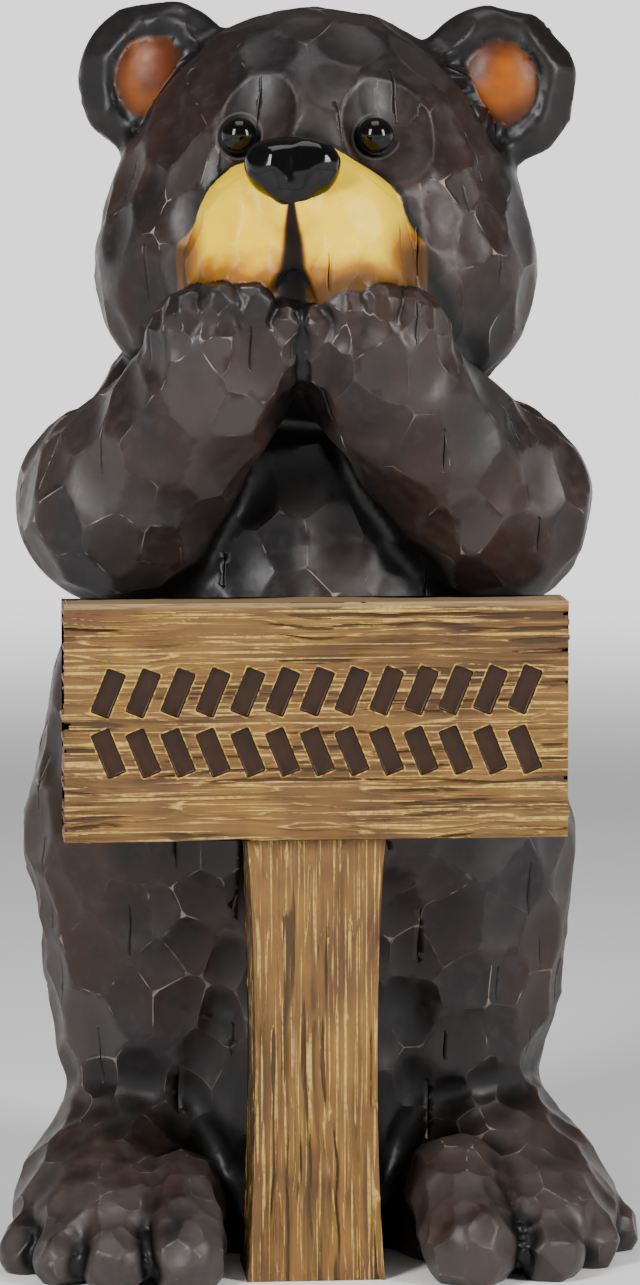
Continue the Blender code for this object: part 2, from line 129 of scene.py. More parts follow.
def turned(degrees):
    """The rotation matrix of three angles about X, Y and Z."""
    return np.array(Euler([math.radians(d) for d in degrees]).to_matrix())


HEAD_AXES = turned((0, 0, math.degrees(HEAD_TURN)))


def on_head(point):
    """A point given from the middle of the head, in the bear's frame."""
    return tuple(np.array(HEAD_CENTRE) + HEAD_AXES @ np.array(point, float))


def lump(centre, radii, axes=None):
    """An ellipsoid of the carving."""
    return {
        "centre": np.array(centre, float),
        "radii": np.array(radii, float),
        "axes": np.eye(3) if axes is None else axes,
    }


def head_lump(centre, radii, degrees=(0, 0, 0)):
    return lump(on_head(centre), radii, HEAD_AXES @ turned(degrees))


def limb(start, end, start_radius, end_radius):
    """A round bar of the carving whose radius changes along it."""
    return {
        "start": np.array(start, float),
        "end": np.array(end, float),
        "radii": (start_radius, end_radius),
    }


def torso():
    return [
        lump((1.5, -2, 262), (122, 98, 98)),
        lump((0, 4, 205), (126, 86, 80)),
        lump((0, 10, 350), (98, 82, 92)),
        lump((0, 20, 410), (92, 66, 60)),
        lump((0, 6, 60), (58, 84, 170)),
    ]


def legs():
    return [
        limb((-71, -4, 190), (-67, -6, 70), 59, 41),
        lump((-71, 10, 135), (50, 64, 92)),
        limb((77, -4, 190), (72, -6, 70), 59, 42),
        lump((80, 10, 142), (54, 66, 90)),
    ]


# Each foot's side, how far it turns out in degrees, and how broad it is.
FOOT_SIDES = ((-1, -10, 1.0), (1, 14, 1.13))

# Each foot's four toes from the inside: how far across and forward of the heel, and how thick.
TOES = {
    -1: ((-36, 129, 19), (-4, 136, 15.5), (23, 126, 13.5), (44, 103, 12)),
    1: ((-35, 130, 22), (3.5, 134, 16), (32, 115, 14.5), (54.5, 86, 13)),
}


def heel_of(side):
    return np.array((side * 76, 6, 0.0))


def feet():
    made = []
    for side, splay, breadth in FOOT_SIDES:
        axes = turned((0, 0, splay))
        heel = heel_of(side)
        spread = side * 40 * (breadth - 1)
        made.append(lump(heel + axes @ (spread, -52, 18), (50 * breadth, 82, 38), axes))
        made.append(lump(heel + axes @ (0, 28, 20), (42, 44, 36), axes))
        made.append(
            lump(heel + axes @ (side * 4 + spread, -22, 44), (38 * breadth, 58, 35), axes)
        )
        made.append(lump(heel + axes @ (side * 26 + spread, -46, 24), (28, 48, 28), axes))
    return made


def toes():
    made = []
    for side, splay, _ in FOOT_SIDES:
        axes = turned((0, 0, splay))
        for across, forward, radius in TOES[side]:
            tip = heel_of(side) + axes @ (side * across, -forward, radius * 0.75)
            root = heel_of(side) + axes @ (side * across * 0.8, 42 - forward, radius + 16)
            made.append(limb(tip, root, radius, radius + 2))
    return made


def arms():
    made = []
    for side, shoulder, bend, elbow in (
        (-1, (-75, 18, 384), (-89, -28, 366), (-88, -58, 366)),
        (1, (74, 18, 392), (92, -28, 366), (92, -58, 364)),
    ):
        wrist = (PAW_MIDDLE + side * 38, -103, 429)
        made.append(limb(shoulder, bend, 38, 45))
        made.append(limb(bend, elbow, 45, 43))
        made.append(limb(elbow, wrist, 44, 35))
    return made


def paws():
    made = []
    for side in (-1, 1):
        made.append(
            lump((PAW_MIDDLE + side * 36, -110, 448), (36, 27, 27), turned((0, side * -8, 0)))
        )
    return made


# Each paw's four fingers from the inside: how far across, how far forward, how high, how thick.
FINGERS = ((9, -121, 457, 10), (24, -127, 464, 10.5), (39.5, -128, 465, 10.5), (54, -125, 461, 10))


def fingers():
    made = []
    for side, spread in ((-1, 1.0), (1, 0.92)):
        for across, front, top, radius in FINGERS:
            x = PAW_MIDDLE + side * across * spread
            made.append(limb((x, front + 4, top - 24), (x, front, top), radius * 0.8, radius))
            made.append(limb((x, front, top), (x, -108, top - 1), radius, radius * 0.85))
    return made


def skull():
    return [
        head_lump((0, 6, 2), (98, 88, 105)),
        head_lump((-50, -2, -24), (53, 66, 50)),
        head_lump((50, -2, -26), (54, 66, 52)),
        head_lump((0, -26, -48), (62, 54, 44)),
    ]


EAR_PLACES = [((-78.5, 16, 72), -1), ((87.5, 16, 69), 1)]


def ear_shells():
    return [head_lump(place, (39, 17, 39), (-4, 0, side * 6)) for place, side in EAR_PLACES]


def ear_bowls():
    return [
        head_lump((x + side * 1.5, y - 19, z + 1), (28.5, 15, 30), (-4, 0, side * 6))
        for (x, y, z), side in EAR_PLACES
    ]


def ear_pads():
    return [
        head_lump((x + side * 2.5, y - 3, z + 2), (21, 11, 24.5), (-4, 0, side * 6))
        for (x, y, z), side in EAR_PLACES
    ]


def muzzle():
    return [
        head_lump((MUZZLE_MIDDLE - 23, -84, -18), (32, 41, 37), (0, 12, 0)),
        head_lump((MUZZLE_MIDDLE + 23, -84, -18), (32, 41, 37), (0, -12, 0)),
        head_lump((MUZZLE_MIDDLE, -84, -10), (35, 31, 35)),
        head_lump((MUZZLE_MIDDLE, -82, 15), (29, 42, 29)),
        head_lump((MUZZLE_MIDDLE - 20, -82, 4), (28, 38, 30)),
        head_lump((MUZZLE_MIDDLE + 20, -82, 4), (29, 38, 30)),
    ]


def mouth():
    return [head_lump((MUZZLE_MIDDLE, -122, -32), (9, 30, 17))]


def nose():
    return [
        limb(on_head((-12.5, -114, 33.5)), on_head((12.5, -114, 33.5)), 9.5, 9.5),
        limb(on_head((-5, -114, 33.5)), on_head((5, -114, 33.5)), 11, 11),
        limb(on_head((-9, -115, 30)), on_head((-2, -119, 22.5)), 10, 7.5),
        limb(on_head((9, -115, 30)), on_head((2, -119, 22.5)), 10, 7.5),
    ]


EYE_PLACES = [(side * 32.5 + 2.5, -75, 46) for side in (-1, 1)]


def brow_scoops():
    """The broad scoop that each eye sits in."""
    return [
        head_lump((-23.5, -80, 61), (31, 20, 44), (-28, 0, -14)),
        head_lump((47, -73, 54.5), (37, 20, 44), (-25, 0, 26)),
    ]


def eye_sockets():
    return [head_lump(place, (11.3, 9, 11.3)) for place in EYE_PLACES]


def eyes():
    return [head_lump((x, y + 7, z), (8.8, 8.8, 8.9)) for x, y, z in EYE_PLACES]


def tail():
    return [lump((0, 88, 150), (17, 14, 18))]


def middle_and_reach(solid):
    """The middle of a lump or limb, and how far it reaches from there."""
    if "centre" in solid:
        return solid["centre"], max(solid["radii"])
    length = np.linalg.norm(solid["end"] - solid["start"])
    return (solid["start"] + solid["end"]) / 2, max(solid["radii"]) + length / 2


def exact_distance(points, solid):
    if "centre" in solid:
        local = (points - solid["centre"]) @ solid["axes"]
        near = np.linalg.norm(local / solid["radii"], axis=1)
        slope = np.linalg.norm(local / solid["radii"] ** 2, axis=1)
        return near * (near - 1) / np.maximum(slope, 1e-9)
    along = solid["end"] - solid["start"]
    share = np.clip((points - solid["start"]) @ along / (along @ along), 0, 1)
    nearest = solid["start"] + share[:, None] * along
    radius = solid["radii"][0] + share * (solid["radii"][1] - solid["radii"][0])
    return np.linalg.norm(points - nearest, axis=1) - radius


def distance_to(points, solid):
    """How far points are outside one lump or limb, negative inside. Far points are only estimated."""
    middle, reach = middle_and_reach(solid)
    distance = np.linalg.norm(points - middle, axis=1) - reach
    close = distance < CLOSE
    distance[close] = exact_distance(points[close], solid)
    return distance


def blended(first, second, width):
    """The union of two distances, with a soft fillet of that width where they meet."""
    overlap = np.maximum(width - np.abs(first - second), 0) / width
    return np.minimum(first, second) - overlap * overlap * width / 4


def cut_from(first, second, width):
    return -blended(-first, second, width)


def group(points, solids, width):
    total = distance_to(points, solids[0])
    for solid in solids[1:]:
        total = blended(total, distance_to(points, solid), width)
    return total


ADDED = [
    (torso(), 34, 0),
    (legs(), 16, 26),
    (feet(), 18, 16),
    (toes(), 2.2, 5),
    (tail(), 4, 8),
    (arms(), 14, 12),
    (skull(), 30, 4),
    (paws(), 3, 10),
    (fingers(), 1.8, 4),
    (ear_shells(), 5, 9),
]


def form(points, whole=True):
    """The bear's smooth form, before the gouge: its distance from each point, in units.

    The nose and the eyes are left off where they are pieces of their own.
    """
    total = None
    for solids, inner_width, joint_width in ADDED:
        part = group(points, solids, inner_width)
        total = part if total is None else blended(total, part, joint_width)
    total = cut_from(total, group(points, brow_scoops(), 1), 0.8)
    total = cut_from(total, group(points, ear_bowls(), 3), 3)
    total = blended(total, group(points, ear_pads(), 2), 1.5)
    lips = cut_from(group(points, muzzle(), 5), group(points, mouth(), 3), 4)
    total = blended(total, lips, 3)
    if whole:
        total = blended(total, group(points, nose(), 8), 1.2)
    total = cut_from(total, group(points, eye_sockets(), 1), 3)
    return blended(total, group(points, eyes(), 1), 0.8) if whole else total


def distance_and_slope(field, points, step):
    """A field's distance and outward normal at each point, from four looks round it."""
    looks = np.array([(1, -1, -1), (-1, -1, 1), (-1, 1, -1), (1, 1, 1)], float)
    seen = [field(points + look * step) for look in looks]
    slope = sum(value[:, None] * look for value, look in zip(seen, looks))
    length = np.maximum(np.linalg.norm(slope, axis=1), 1e-9)
    return sum(seen) / 4, slope / length[:, None]


def form_and_slope(points, whole=True):
    return distance_and_slope(lambda spots: form(spots, whole), points, 0.3)


def settled(points, rounds=4, most=6.0, whole=True):
    """Points drawn onto the form along its normal."""
    for _ in range(rounds):
        distance, normal = form_and_slope(points, whole)
        points = points - normal * np.clip(distance, -most, most)[:, None]
    return points


def facet_size(points):
    """How wide the gouge's facets are: broad on the body, narrow on paws, toes and face."""
    size = np.full(len(points), BODY_FACET)
    for solids, narrow in (
        (feet(), 18.5),
        (muzzle(), 19.0),
        (paws(), 13.0),
        (ear_shells(), 18.0),
        (toes(), 13.5),
        (fingers(), 10.0),
        (nose(), 14.0),
        (brow_scoops(), 34.0),
        (eyes(), 30.0),
    ):
        near = group(points, solids, 1)
        size = np.where(near < 2.5, narrow, size)
    return size


def facet_middles():
    """Where the gouge took its cuts: places spread over the form, each with its normal and width."""
    draw = np.random.default_rng(CARVING_SEED)
    solids = [s for made, _, _ in ADDED for s in made] + muzzle() + nose()
    spots = []
    for solid in solids:
        middle, reach = middle_and_reach(solid)
        count = int(60 + reach * reach * 0.07)
        ray = draw.normal(size=(count, 3))
        ray /= np.linalg.norm(ray, axis=1)[:, None]
        spots.append(middle + ray * reach * draw.uniform(0.6, 1.0, (count, 1)))
    spots = settled(np.concatenate(spots), rounds=6, most=20.0)
    off, normal = form_and_slope(spots)
    good = (np.abs(off) < 0.4) & (spots[:, 2] > -2)
    order = draw.permutation(good.sum())
    spots, normal = spots[good][order], normal[good][order]
    size = facet_size(spots) * draw.uniform(*DISH_SIZES, len(spots))
    deep = draw.uniform(*DISH_DEPTHS, len(spots)) * size
    kept = []
    for i, spot in enumerate(spots):
        if kept:
            gap = (spots[kept] - spot) * UPRIGHT
            bend = NORMAL_WEIGHT * ((normal[kept] - normal[i]) ** 2).sum(1)
            apart = np.sqrt((gap**2).sum(1) + bend)
            if (apart < DISH_SPACING * (size[kept] + size[i])).any():
                continue
        kept.append(i)
    return {
        "spot": spots[kept],
        "normal": normal[kept],
        "size": size[kept],
        "tilt": draw.normal(0, DISH_TILT, (len(kept), 3)),
        "deep": deep[kept],
    }


def dish_heights(points, normal, facets):
    """The height of every facet's shallow dish over every point, as one product of two tables."""
    stretched = points * UPRIGHT
    spot = facets["spot"] * UPRIGHT
    ones = np.ones((len(points), 1))
    here = np.hstack([(stretched**2).sum(1)[:, None], stretched, normal, points, ones])
    curve = (1 / (DISH_REACH * facets["size"]))[:, None]
    fixed = (
        curve[:, 0] * ((spot**2).sum(1) + 2 * NORMAL_WEIGHT)
        - facets["deep"]
        - (facets["spot"] * facets["tilt"]).sum(1)
    )
    there = np.hstack(
        [
            curve,
            -2 * curve * spot,
            -2 * NORMAL_WEIGHT * curve * facets["normal"],
            facets["tilt"],
            fixed[:, None],
        ]
    )
    return here @ there.T


def two_lowest(points, normal, facets):
    """The two lowest dishes over each point: which they are, and how high they are there."""
    which = np.empty((len(points), 2), int)
    height = np.empty((len(points), 2))
    for first in range(0, len(points), 4000):
        chunk = slice(first, first + 4000)
        table = dish_heights(points[chunk], normal[chunk], facets)
        pair = np.argpartition(table, 1, axis=1)[:, :2]
        found = np.take_along_axis(table, pair, 1)
        order = found.argsort(1)
        which[chunk] = np.take_along_axis(pair, order, 1)
        height[chunk] = np.take_along_axis(found, order, 1)
    return which, height


def slid_to_ridges(points, facets, most):
    """Points close to the ridge between two facets, slid along the form onto that ridge."""
    normal = form_and_slope(points)[1]
    which, height = two_lowest(points, normal, facets)
    slopes = []
    for facet in which.T:
        gap = points - facets["spot"][facet]
        reach = (DISH_REACH * facets["size"][facet])[:, None]
        slopes.append(2 * UPRIGHT**2 * gap / reach + facets["tilt"][facet])
    climb = slopes[1] - slopes[0]
    climb -= (climb * normal).sum(1)[:, None] * normal
    steepness = np.maximum((climb**2).sum(1), 1e-6)
    move = -climb * ((height[:, 1] - height[:, 0]) / steepness)[:, None]
    near = np.linalg.norm(move, axis=1) < most
    return points + move * near[:, None]


def gouged(points, facets):
    """Points moved along the normal to the lowest dish, so that facets meet in ridges.

    The eyes and the ears' pads stay smooth, and the gouge doesn't reach into tight creases.
    """
    normal = form_and_slope(points, whole=False)[1]
    depth = two_lowest(points, normal, facets)[1][:, 0]
    calm = np.clip(group(points, eyes() + ear_pads(), 1) / 1.5, 0, 1)
    calm *= np.clip(0.3 + group(points, brow_scoops(), 1) / 3, 0.3, 1)
    room = form(points + normal * ROOM_LOOK, whole=False) / ROOM_LOOK
    calm *= np.clip((room - 0.25) / 0.5, 0, 1)
    return points + normal * (np.clip(depth, *DISH_LIMITS) * calm)[:, None]


def apply_modifiers(obj):
    bpy.context.view_layer.objects.active = obj
    for modifier in list(obj.modifiers):
        bpy.ops.object.modifier_apply(modifier=modifier.name)


def remesh(obj, voxel):
    modifier = obj.modifiers.new("Remesh", "REMESH")
    modifier.mode = "VOXEL"
    modifier.voxel_size = voxel
    apply_modifiers(obj)


def mesh_points(obj):
    flat = np.empty(len(obj.data.vertices) * 3, np.float32)
    obj.data.vertices.foreach_get("co", flat)
    return flat.reshape(-1, 3).astype(float) / UNIT


def place_points(obj, points):
    obj.data.vertices.foreach_set("co", (points * UNIT).astype(np.float32).ravel())
    obj.data.update()


def joined(objects):
    """Makes several objects one, with its place and turn taken up by the mesh."""
    deselect()
    for obj in objects:
        obj.select_set(True)
    bpy.context.view_layer.objects.active = objects[0]
    bpy.ops.object.join()
    bpy.ops.object.transform_apply()
    return bpy.context.object


def balls_of(solids, along):
    """The balls that fill lumps and limbs: the middle, the radii and the axes of each."""
    for solid in solids:
        if "centre" in solid:
            yield solid["centre"], solid["radii"], solid["axes"]
            continue
        for share in np.linspace(0, 1, along):
            middle = solid["start"] * (1 - share) + solid["end"] * share
            radius = solid["radii"][0] * (1 - share) + solid["radii"][1] * share
            yield middle, np.full(3, radius), np.eye(3)


def roughed_out(solids, along, segments):
    """The block: balls at their places, joined as one."""
    made = []
    for middle, radii, axes in balls_of(solids, along):
        bpy.ops.mesh.primitive_uv_sphere_add(
            segments=segments, ring_count=segments // 2, radius=UNIT
        )
        ball = bpy.context.object
        ball.matrix_world = (
            Matrix.Translation(Vector(middle) * UNIT)
            @ Matrix(axes.tolist()).to_4x4()
            @ Matrix.Diagonal((*radii, 1))
        )
        made.append(ball)
    return joined(made)


def deselect():
    bpy.ops.object.select_all(action="DESELECT")


def edit(obj, mode="FACE"):
    """Opens an object in edit mode with nothing selected, and gives its mesh."""
    deselect()
    obj.select_set(True)
    bpy.context.view_layer.objects.active = obj
    bpy.ops.object.mode_set(mode="EDIT")
    bpy.context.tool_settings.mesh_select_mode = (mode == "VERT", mode == "EDGE", mode == "FACE")
    bpy.ops.mesh.select_all(action="DESELECT")
    return bmesh.from_edit_mesh(obj.data)


def leave_edit():
    bpy.ops.object.mode_set(mode="OBJECT")


def subtract(obj, cutter):
    """Cuts one closed mesh out of another. The cut faces take the cutter's own finish."""
    cut = obj.modifiers.new("Cut", "BOOLEAN")
    cut.operation = "DIFFERENCE"
    cut.solver = "MANIFOLD"
    cut.material_mode = "TRANSFER"
    cut.object = cutter
    apply_modifiers(obj)
    bpy.data.objects.remove(cutter)


def fine_places(points):
    """How near points are to what needs small faces: eyes, muzzle edge, fingers, toes and ears."""
    skull_gap = group(points, skull(), 30)
    edge = np.abs(group(points, muzzle(), 5)) + np.abs(skull_gap)
    # Paws, toes and feet only where they are in front and off the ground.
    behind = np.maximum(points[:, 1] + 60, 4 - points[:, 2])
    near = [
        group(points, eye_sockets(), 1) - 5,
        group(points, mouth(), 3) - 5,
        edge - 5,
        np.abs(group(points, brow_scoops(), 1)) - 2,
        group(points, fingers(), 1) - 1,
        np.maximum(group(points, paws(), 1) - 1, behind),
        np.maximum(group(points, toes(), 1) - 0.5, behind),
        np.maximum(group(points, feet(), 1) - 0.5, behind),
    ]
    return np.min(near, axis=0)


def refine(obj):
    """Halves the faces where the carving is finest."""
    mesh = edit(obj)
    middles = np.array([face.calc_center_median() for face in mesh.faces]) / UNIT
    fine = fine_places(middles) < 0
    for face, chosen in zip(mesh.faces, fine):
        face.select_set(bool(chosen))
    bmesh.update_edit_mesh(obj.data)
    bpy.ops.mesh.subdivide(number_cuts=1)
    leave_edit()


def split_along_ridges(obj, gap):
    """Makes every face a triangle, four-sided ones along the diagonal nearer a ridge."""
    mesh = bmesh.new()
    mesh.from_mesh(obj.data)
    for face in mesh.faces[:]:
        if len(face.verts) == 4:
            a, b, c, d = face.verts
            along = (a, c) if gap[a.index] + gap[c.index] < gap[b.index] + gap[d.index] else (b, d)
            bmesh.utils.face_split(face, *along)
    bmesh.ops.triangulate(mesh, faces=mesh.faces[:])
    mesh.to_mesh(obj.data)
    mesh.free()


def store(obj, name, values):
    """Keeps one number for each vertex, for the paint to read."""
    kept = obj.data.attributes.new(name, "FLOAT", "POINT")
    kept.data.foreach_set("value", np.asarray(values, np.float32))


def vertex_normals(obj):
    flat = np.empty(len(obj.data.vertices) * 3, np.float32)
    obj.data.vertices.foreach_get("normal", flat)
    return flat.reshape(-1, 3)


def hollowness(obj, rounds):
    """How far each vertex lies below its smoothed surroundings, in mm, negative on a crest."""
    count = len(obj.data.vertices)
    ends = np.empty(len(obj.data.edges) * 2, np.int32)
    obj.data.edges.foreach_get("vertices", ends)
    first, second = ends.reshape(-1, 2).T
    links = np.bincount(first, minlength=count) + np.bincount(second, minlength=count)
    points = mesh_points(obj)
    smooth = points.copy()
    for _ in range(rounds):
        for axis in range(3):
            here = smooth[:, axis]
            total = np.bincount(first, here[second], count) + np.bincount(second, here[first], count)
            smooth[:, axis] = 0.5 * here + 0.5 * total / links
    return ((smooth - points) * vertex_normals(obj)).sum(1)


def shut_in(points, normal):
    """How shut in each point is, from 0 in the open towards 1 in a hollow."""
    shut = np.zeros(len(points))
    for reach in SHUT_IN_LOOKS:
        shut += np.clip(1 - form(points + normal * reach, whole=False) / reach, 0, 1)
    return shut / len(SHUT_IN_LOOKS)


def in_box(points):
    low, high = np.array(CAD_LOW) / UNIT, np.array(CAD_HIGH) / UNIT
    return np.clip(points, (low[0], low[1], -20), high)


def carve_skin(facets):
    added = [solid for solids, _, _ in ADDED for solid in solids]
    skin = roughed_out(added + muzzle() + nose(), along=5, segments=32)
    skin.name = "bear_skin"
    remesh(skin, BLOCK_VOXEL)
    place_points(skin, settled(mesh_points(skin), whole=False))
    remesh(skin, SKIN_VOXEL)
    place_points(skin, settled(mesh_points(skin), rounds=2, whole=False))
    refine(skin)
    calm = settled(mesh_points(skin), rounds=2, whole=False)
    points = slid_to_ridges(calm, facets, SLIDE * SKIN_VOXEL / UNIT)
    normal = form_and_slope(points, whole=False)[1]
    height = two_lowest(points, normal, facets)[1]
    split_along_ridges(skin, height[:, 1] - height[:, 0])
    points = unfolded(skin, points, calm, normal)
    place_points(skin, in_box(gouged(points, facets)))
    return skin


def unfolded(obj, points, calm, normal):
    """Puts back the points whose sliding would turn a face over or pinch it."""
    corners = np.empty(len(obj.data.polygons) * 3, np.int32)
    obj.data.polygons.foreach_get("vertices", corners)
    corners = corners.reshape(-1, 3)
    for _ in range(5):
        a, b, c = (points[corners[:, i]] for i in range(3))
        face = np.cross(b - a, c - a)
        size = np.linalg.norm(face, axis=1)
        facing = (face * normal[corners[:, 0]]).sum(1) / np.maximum(size, 1e-9)
        longest = np.max([((p - q) ** 2).sum(1) for p, q in ((a, b), (b, c), (c, a))], axis=0)
        bad = corners[(facing < 0.5) | (size < 0.09 * longest)]
        points[np.unique(bad)] = calm[np.unique(bad)]
    return points


def stand_flat(obj):
    """Cuts the feet off flat on the ground."""
    edit(obj)
    bpy.ops.mesh.select_all(action="SELECT")
    bpy.ops.mesh.bisect(
        plane_co=(0, 0, 0), plane_no=(0, 0, 1), use_fill=True, clear_inner=True, threshold=1e-6
    )
    leave_edit()


def block(name, low, high):
    """A box between two corners."""
    low, high = Vector(low), Vector(high)
    deselect()
    bpy.ops.mesh.primitive_cube_add(size=1, location=(low + high) / 2, scale=high - low)
    bpy.ops.object.transform_apply()
    bpy.context.object.name = name
    return bpy.context.object


def clear_sign(skin):
    """Cuts the bear back where the board and the post stand against it."""
    for node in ("sign_board", "sign_post"):
        low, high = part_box(node)
        wider = 0.2 * (high.x - low.x) if node == "sign_board" else FIT_GAP
        upward = high.z + (FIT_GAP if node == "sign_board" else 0.05)
        downward = low.z - (FIT_GAP if node == "sign_board" else 0.02)
        cutter = block(
            "clearance",
            (low.x - wider, low.y - 0.06, downward),
            (high.x + wider, high.y + FIT_GAP, upward),
        )
        cutter.data.materials.append(skin.data.materials[0])
        subtract(skin, cutter)


# What is measured on the bear for its paint, in the order of measuring.
BEAR_MARKS = "ridge tone brow hollow shut_in ear muzzle pad pad_share mouth eye_ring".split()
BEAR_MARKS += ["head_across", "head_up"]


def paint_marks(skin, facets):
    """Measures at every vertex what the painter went by, under the names in BEAR_MARKS."""
    points = mesh_points(skin)
    normal = form_and_slope(points, whole=False)[1]
    which, height = two_lowest(points, normal, facets)
    ridge = height[:, 1] - height[:, 0]
    crisp_ridges(skin, ridge)
    tone = np.random.default_rng(TONE_SEED).uniform(0, 1, len(facets["size"]))
    head = (points - np.array(HEAD_CENTRE)) @ HEAD_AXES
    others = [group(points, solids, 3) for solids in (skull(), paws(), fingers(), arms())]
    brow_gap = group(points, brow_scoops(), 1)
    paw_gap = np.minimum(group(points, fingers(), 1), group(points, paws(), 1))
    pad_share = [
        np.linalg.norm(((points - pad["centre"]) @ pad["axes"] / pad["radii"])[:, (0, 2)], axis=1)
        for pad in ear_pads()
    ]
    eye_gap = [
        np.linalg.norm((head - np.array(place))[:, (0, 2)], axis=1) for place in EYE_PLACES
    ]
    measured = (
        ridge,
        tone[which[:, 0]],
        np.where(brow_gap > 0.4, brow_gap, group(points, skull(), 30)),
        hollowness(skin, HOLLOW_ROUNDS),
        shut_in(points, normal),
        group(points, ear_shells(), 5),
        np.min(others, axis=0) - group(points, muzzle(), 5),
        group(points, ear_pads(), 2),
        np.min(pad_share, axis=0),
        np.maximum(group(points, mouth(), 3), 5 - paw_gap),
        np.where(head[:, 1] < -55, np.min(eye_gap, axis=0), 99),
        head[:, 0] - MUZZLE_MIDDLE,
        head[:, 2],
    )
    for name, values in zip(BEAR_MARKS, measured):
        store(skin, name, values)


def crisp_ridges(obj, ridge):
    """Keeps the shading crisp along edges that run on a ridge and stand out."""
    mesh = bmesh.new()
    mesh.from_mesh(obj.data)
    on_ridge = ridge < 0.3
    for edge in mesh.edges:
        first, second = (vertex.index for vertex in edge.verts)
        if on_ridge[first] and on_ridge[second] and edge.is_manifold:
            edge.smooth = edge.calc_face_angle() < RIDGE_ANGLE
    mesh.to_mesh(obj.data)
    mesh.free()


def crack_blade():
    """A slim blade, pointed at both ends, that the drying cracks are cut with."""
    deselect()
    bpy.ops.mesh.primitive_cube_add(size=1, scale=(CRACK_WIDTH, 2 * CRACK_DEPTH, 1))
    bpy.ops.object.transform_apply()
    blade = bpy.context.object
    mesh = edit(blade, "EDGE")
    for edge in mesh.edges:
        edge.select_set(abs((edge.verts[0].co - edge.verts[1].co).z) > 0.5)
    bmesh.update_edit_mesh(blade.data)
    bpy.ops.mesh.subdivide(number_cuts=5)
    mesh = bmesh.from_edit_mesh(blade.data)
    for vertex in mesh.verts:
        share = abs(vertex.co.z) * 2
        vertex.co.x *= max(0.12, 1 - share**3)
        vertex.co.x += 0.35 * CRACK_WIDTH * math.sin(7 * vertex.co.z)
        if vertex.co.y > 0:
            vertex.co.x *= 0.4
    bmesh.update_edit_mesh(blade.data)
    leave_edit()
    return blade


def crack_places(skin):
    """Where the cracks are: spread over the steep sides of the carving, the same on every run."""
    draw = np.random.default_rng(CRACK_SEED)
    normal = vertex_normals(skin)
    points = mesh_points(skin)
    eye_gap = np.min([group(points, eyes(), 1), group(points, ear_pads(), 1)], axis=0)
    steep = (np.abs(normal[:, 2]) < 0.45) & (points[:, 2] > 45) & (eye_gap > 6)
    chosen = []
    for number in draw.permutation(np.flatnonzero(steep)):
        place = points[number]
        if all(np.linalg.norm((place - other) * (1, 1, 0.6)) > CRACK_GAP for other, _, _ in chosen):
            chosen.append((place, normal[number], draw.uniform(*CRACK_LENGTHS)))
        if len(chosen) == CRACK_COUNT:
            break
    return chosen


def cut_cracks(skin, finish):
    """Upright drying cracks, cut with copies of one blade."""
    blade = crack_blade()
    blade.data.materials.append(finish)
    copies = []
    for place, normal, length in crack_places(skin):
        copy = blade.copy()
        copy.data = blade.data.copy()
        bpy.context.scene.collection.objects.link(copy)
        inward = -Vector(normal)
        up = (Vector((0, 0, 1)) - inward * inward.z).normalized()
        across = inward.cross(up)
        turn = Matrix((across, inward, up)).transposed()
        copy.matrix_world = (
            Matrix.Translation(Vector(place) * UNIT)
            @ turn.to_4x4()
            @ Matrix.Diagonal((1, 1, length * UNIT, 1))
        )
        copies.append(copy)
    bpy.data.objects.remove(blade)
    blades = joined(copies)
    edit(blades)
    bpy.ops.mesh.select_all(action="SELECT")
    bpy.ops.mesh.normals_make_consistent(inside=False)
    leave_edit()
    subtract(skin, blades)


def smooth_shaded(obj, degrees=180):
    deselect()
    obj.select_set(True)
    bpy.context.view_layer.objects.active = obj
    if degrees >= 180:
        bpy.ops.object.shade_smooth()
    else:
        bpy.ops.object.shade_smooth_by_angle(angle=math.radians(degrees))


def carve_bear(finish, crack_paint):
    facets = facet_middles()
    skin = carve_skin(facets)
    skin.data.materials.append(finish)
    stand_flat(skin)
    clear_sign(skin)
    cut_cracks(skin, crack_paint)
    smooth_shaded(skin)
    paint_marks(skin, facets)
    return skin, facets


def carve_nose(facets):
    """The nose, a separate piece so that its edge against the muzzle is crisp."""
    piece = roughed_out(nose(), along=7, segments=24)
    piece.name = "nose"
    remesh(piece, NOSE_VOXEL)
    points = mesh_points(piece)
    for _ in range(3):
        distance, slope = distance_and_slope(lambda spots: group(spots, nose(), 8), points, 0.2)
        points = points - slope * distance[:, None]
    height = two_lowest(points, slope, facets)[1][:, 0]
    points = points + slope * NOSE_GOUGE * np.clip(height, -2.2, 1.2)[:, None]
    place_points(piece, points)
    smooth_shaded(piece)
    return piece


def place_eyes():
    """Two domes in their sockets, left and right."""
    made = []
    for number, (x, y, z) in enumerate(EYE_PLACES):
        deselect()
        bpy.ops.mesh.primitive_uv_sphere_add(
            segments=48,
            ring_count=24,
            radius=EYE_RADIUS * UNIT,
            location=Vector(on_head((x, y + 7, z))) * UNIT,
        )
        bpy.ops.object.transform_apply()
        eye = bpy.context.object
        eye.name = ("eye_left", "eye_right")[number]
        smooth_shaded(eye)
        made.append(eye)
    return made


def noise(x, y, seed):
    """Smooth noise from -1 to 1 with one swell in each unit square, the same on every run."""
    table = np.random.default_rng(seed).uniform(-1, 1, (128, 128))
    column, row = np.floor(x).astype(int), np.floor(y).astype(int)
    right, up = x - column, y - row
    right, up = right * right * (3 - 2 * right), up * up * (3 - 2 * up)
    column, row = column % 128, row % 128
    beside, above = (column + 1) % 128, (row + 1) % 128
    low = table[column, row] * (1 - right) + table[beside, row] * right
    high = table[column, above] * (1 - right) + table[beside, above] * right
    return low * (1 - up) + high * up


